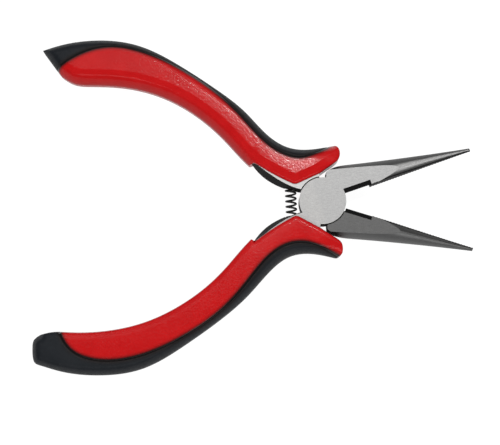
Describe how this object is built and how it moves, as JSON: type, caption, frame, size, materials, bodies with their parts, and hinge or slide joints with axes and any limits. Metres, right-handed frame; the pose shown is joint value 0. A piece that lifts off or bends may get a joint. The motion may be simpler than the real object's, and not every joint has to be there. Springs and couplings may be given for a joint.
{
  "type": "needle nose pliers",
  "caption": "Small spring-loaded long-nose pliers with side cutters, held half open; two-colour moulded grips with finger guards.",
  "frame": {"origin": "on the pivot axis, at the joint's back face", "axes": "+X toward the jaw tips along the tool's mid-line, +Y toward the upper handle, +Z out of the joint's front face along the pivot"},
  "size_m": [0.1186, 0.0907, 0.011],
  "materials": {
    "ground_steel": "fine ground faces, dark forged flanks",
    "satin_steel": "satin, darker than the front lever",
    "rivet_steel": "ground flush",
    "spring_steel": "blackened spring wire",
    "red_grip": "semi-gloss moulded vinyl",
    "black_grip": "satin moulded rubber-like plastic"
  },
  "bodies": {
    "front_half": {"front_lever": "ground_steel", "pivot_rivet": "rivet_steel", "return_spring": "spring_steel", "lower_grip_sleeve": "red_grip", "lower_grip_pad": "black_grip"},
    "rear_half": {"rear_lever": "satin_steel", "upper_grip_sleeve": "red_grip", "upper_grip_pad": "black_grip"}
  },
  "joints": [
    {"name": "pivot", "type": "hinge", "parent": "front_half", "child": "rear_half", "pos_m": [0, 0, 0.004], "axis": [0, 0, 1], "range_deg": [-4, 36], "stiffness_Nm_per_rad": 0.16, "deforming": ["return_spring"]}
  ]
}
